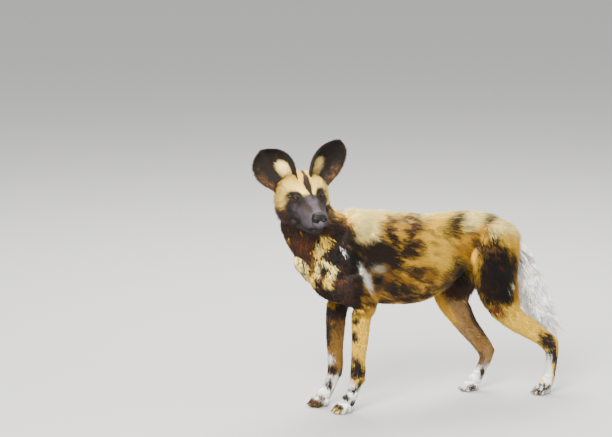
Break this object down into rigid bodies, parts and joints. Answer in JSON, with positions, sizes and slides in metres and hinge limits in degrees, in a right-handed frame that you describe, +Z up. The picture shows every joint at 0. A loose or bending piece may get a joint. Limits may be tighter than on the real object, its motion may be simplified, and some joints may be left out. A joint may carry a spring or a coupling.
{
  "type": "african wild dog figure",
  "caption": "Life-size still model of an african wild dog standing on four feet with its head turned to its left, ears up and tail hanging.",
  "frame": {"origin": "the point on the floor under the middle of the model's bounding box", "axes": "+Z up; the body faces -X, its left side is towards -Y and the head is turned to look along -Y"},
  "size_m": [1.0527, 0.3451, 0.8467],
  "materials": {
    "body_coat": "short fur, ochre with black-brown and cream blotches",
    "dark_coat": "short fur, black-brown",
    "face_coat": "short fur, pale forehead and cheeks with a charcoal muzzle",
    "white_coat": "long fur, white",
    "paw_coat": "short fur, white with black-brown spots",
    "nose_skin": "moist, black",
    "eye": "wet, amber-brown"
  },
  "bodies": {
    "root": {"head": "face_coat", "nose": "nose_skin", "eye_left": "eye", "eye_right": "eye", "ear_left": "dark_coat", "ear_right": "dark_coat", "neck": "dark_coat", "torso": "body_coat", "hips": "body_coat", "tail": "white_coat", "foreleg_left": "body_coat", "foreleg_right": "body_coat", "forepaw_left": "paw_coat", "forepaw_right": "paw_coat", "hindleg_left": "body_coat", "hindleg_right": "body_coat", "hindpaw_left": "paw_coat", "hindpaw_right": "paw_coat"}
  },
  "joints": []
}
